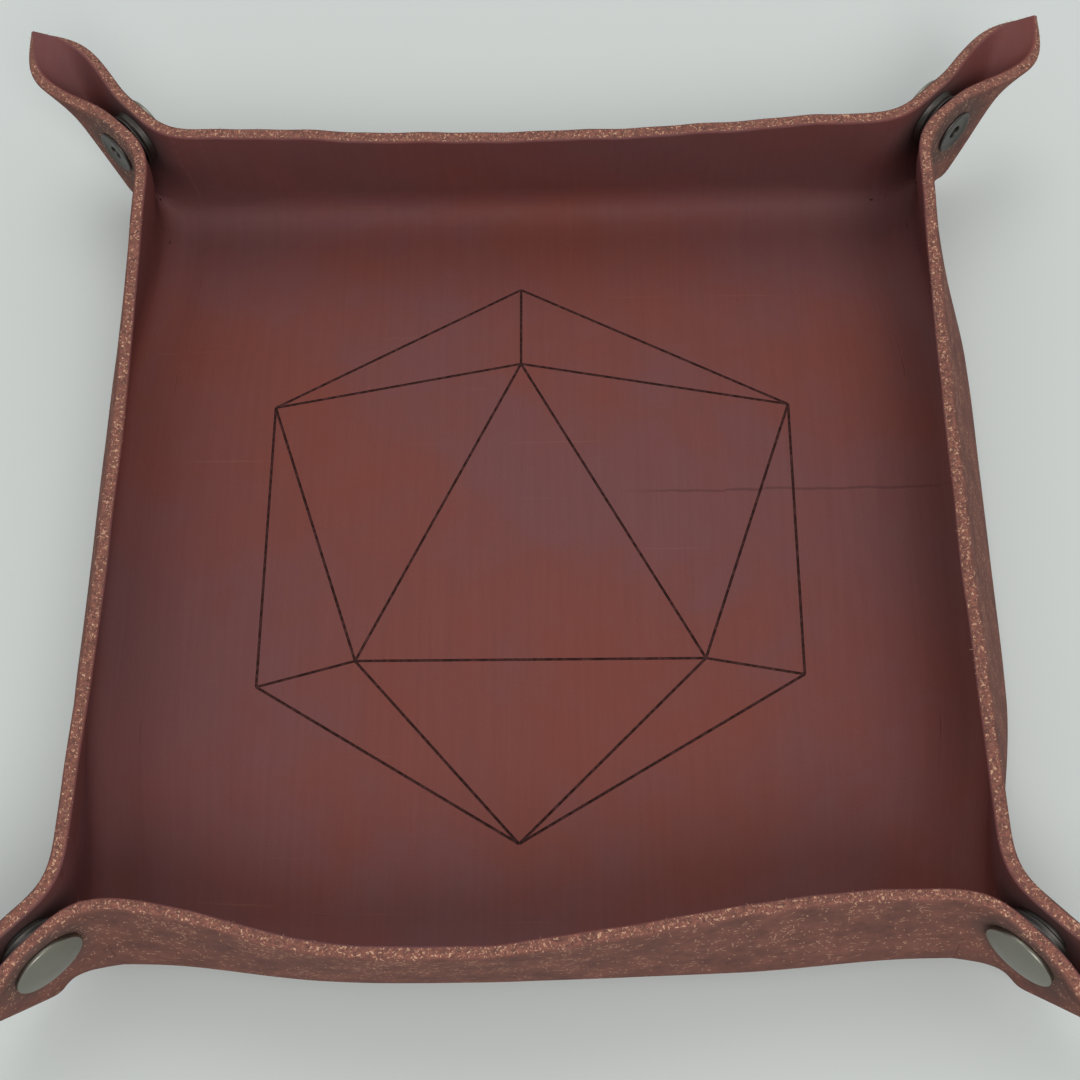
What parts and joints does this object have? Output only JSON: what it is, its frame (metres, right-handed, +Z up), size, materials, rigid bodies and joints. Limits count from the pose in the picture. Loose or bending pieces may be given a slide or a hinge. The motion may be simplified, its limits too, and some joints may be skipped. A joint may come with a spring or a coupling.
{
  "type": "dice tray",
  "caption": "Square tray folded from one sheet of thick leather, its corners pinched into ears by press snaps, for rolling dice",
  "frame": {"origin": "middle of the floor's underside, on the table", "axes": "+Z up, +X to the right and +Y to the back as the picture shows it"},
  "size_m": [0.2298, 0.2298, 0.0371],
  "materials": {
    "grain_leather": "vegetable-tanned, dyed dark oxblood by hand, waxed grain",
    "ear_leather": "the same sheet at its pinched corners, raw flesh side outside",
    "cap_metal": "plated, antiqued grey, satin",
    "fitting_metal": "plated, antiqued grey, satin"
  },
  "bodies": {
    "base": {"floor": "grain_leather"},
    "front": {"front_wall": "grain_leather"},
    "back": {"back_wall": "grain_leather"},
    "left": {"left_wall": "grain_leather"},
    "right": {"right_wall": "grain_leather"},
    "front_left_end": {"front_left_end_ear": "ear_leather", "front_left_cap": "cap_metal", "front_left_socket": "fitting_metal"},
    "front_left_side": {"front_left_side_ear": "ear_leather", "front_left_stud": "fitting_metal", "front_left_eyelet": "fitting_metal"},
    "front_right_end": {"front_right_end_ear": "ear_leather", "front_right_cap": "cap_metal", "front_right_socket": "fitting_metal"},
    "front_right_side": {"front_right_side_ear": "ear_leather", "front_right_stud": "fitting_metal", "front_right_eyelet": "fitting_metal"},
    "back_left_end": {"back_left_end_ear": "ear_leather", "back_left_cap": "cap_metal", "back_left_socket": "fitting_metal"},
    "back_left_side": {"back_left_side_ear": "ear_leather", "back_left_stud": "fitting_metal", "back_left_eyelet": "fitting_metal"},
    "back_right_end": {"back_right_end_ear": "ear_leather", "back_right_cap": "cap_metal", "back_right_socket": "fitting_metal"},
    "back_right_side": {"back_right_side_ear": "ear_leather", "back_right_stud": "fitting_metal", "back_right_eyelet": "fitting_metal"}
  },
  "joints": [
    {"name": "front_fold", "type": "hinge", "parent": "base", "child": "front", "pos_m": [0, -0.08702, 0.00256], "axis": [1, 0, 0], "range_deg": [0, 55]},
    {"name": "back_fold", "type": "hinge", "parent": "base", "child": "back", "pos_m": [0, 0.08702, 0.00256], "axis": [-1, 0, 0], "range_deg": [0, 55]},
    {"name": "left_fold", "type": "hinge", "parent": "base", "child": "left", "pos_m": [-0.08702, 0, 0.00256], "axis": [0, -1, 0], "range_deg": [0, 55]},
    {"name": "right_fold", "type": "hinge", "parent": "base", "child": "right", "pos_m": [0.08702, 0, 0.00256], "axis": [0, 1, 0], "range_deg": [0, 55]},
    {"name": "front_left_end_fold", "type": "hinge", "parent": "front", "child": "front_left_end", "pos_m": [-0.08561, -0.08742, 0.00912], "axis": [-0.2724, -0.2001, -0.9411], "range_deg": [0, 19]},
    {"name": "front_left_side_fold", "type": "hinge", "parent": "left", "child": "front_left_side", "pos_m": [-0.08742, -0.08561, 0.00912], "axis": [0.2001, 0.2724, 0.9411], "range_deg": [0, 19]},
    {"name": "front_right_end_fold", "type": "hinge", "parent": "front", "child": "front_right_end", "pos_m": [0.08561, -0.08742, 0.00912], "axis": [-0.2724, 0.2001, 0.9411], "range_deg": [0, 19]},
    {"name": "front_right_side_fold", "type": "hinge", "parent": "right", "child": "front_right_side", "pos_m": [0.08742, -0.08561, 0.00912], "axis": [0.2001, -0.2724, -0.9411], "range_deg": [0, 19]},
    {"name": "back_left_end_fold", "type": "hinge", "parent": "back", "child": "back_left_end", "pos_m": [-0.08561, 0.08742, 0.00912], "axis": [0.2724, -0.2001, 0.9411], "range_deg": [0, 19]},
    {"name": "back_left_side_fold", "type": "hinge", "parent": "left", "child": "back_left_side", "pos_m": [-0.08742, 0.08561, 0.00912], "axis": [-0.2001, 0.2724, -0.9411], "range_deg": [0, 19]},
    {"name": "back_right_end_fold", "type": "hinge", "parent": "back", "child": "back_right_end", "pos_m": [0.08561, 0.08742, 0.00912], "axis": [0.2724, 0.2001, -0.9411], "range_deg": [0, 19]},
    {"name": "back_right_side_fold", "type": "hinge", "parent": "right", "child": "back_right_side", "pos_m": [0.08742, 0.08561, 0.00912], "axis": [-0.2001, -0.2724, 0.9411], "range_deg": [0, 19]}
  ],
  "couplings": [
    {"joint": "back_fold", "follows": "front_fold", "ratio": 1},
    {"joint": "left_fold", "follows": "front_fold", "ratio": 1},
    {"joint": "right_fold", "follows": "front_fold", "ratio": 1},
    {"joint": "front_left_end_fold", "follows": "front_fold", "ratio": 0.34},
    {"joint": "front_left_side_fold", "follows": "front_fold", "ratio": 0.34},
    {"joint": "front_right_end_fold", "follows": "front_fold", "ratio": 0.34},
    {"joint": "front_right_side_fold", "follows": "front_fold", "ratio": 0.34},
    {"joint": "back_left_end_fold", "follows": "front_fold", "ratio": 0.34},
    {"joint": "back_left_side_fold", "follows": "front_fold", "ratio": 0.34},
    {"joint": "back_right_end_fold", "follows": "front_fold", "ratio": 0.34},
    {"joint": "back_right_side_fold", "follows": "front_fold", "ratio": 0.34}
  ]
}
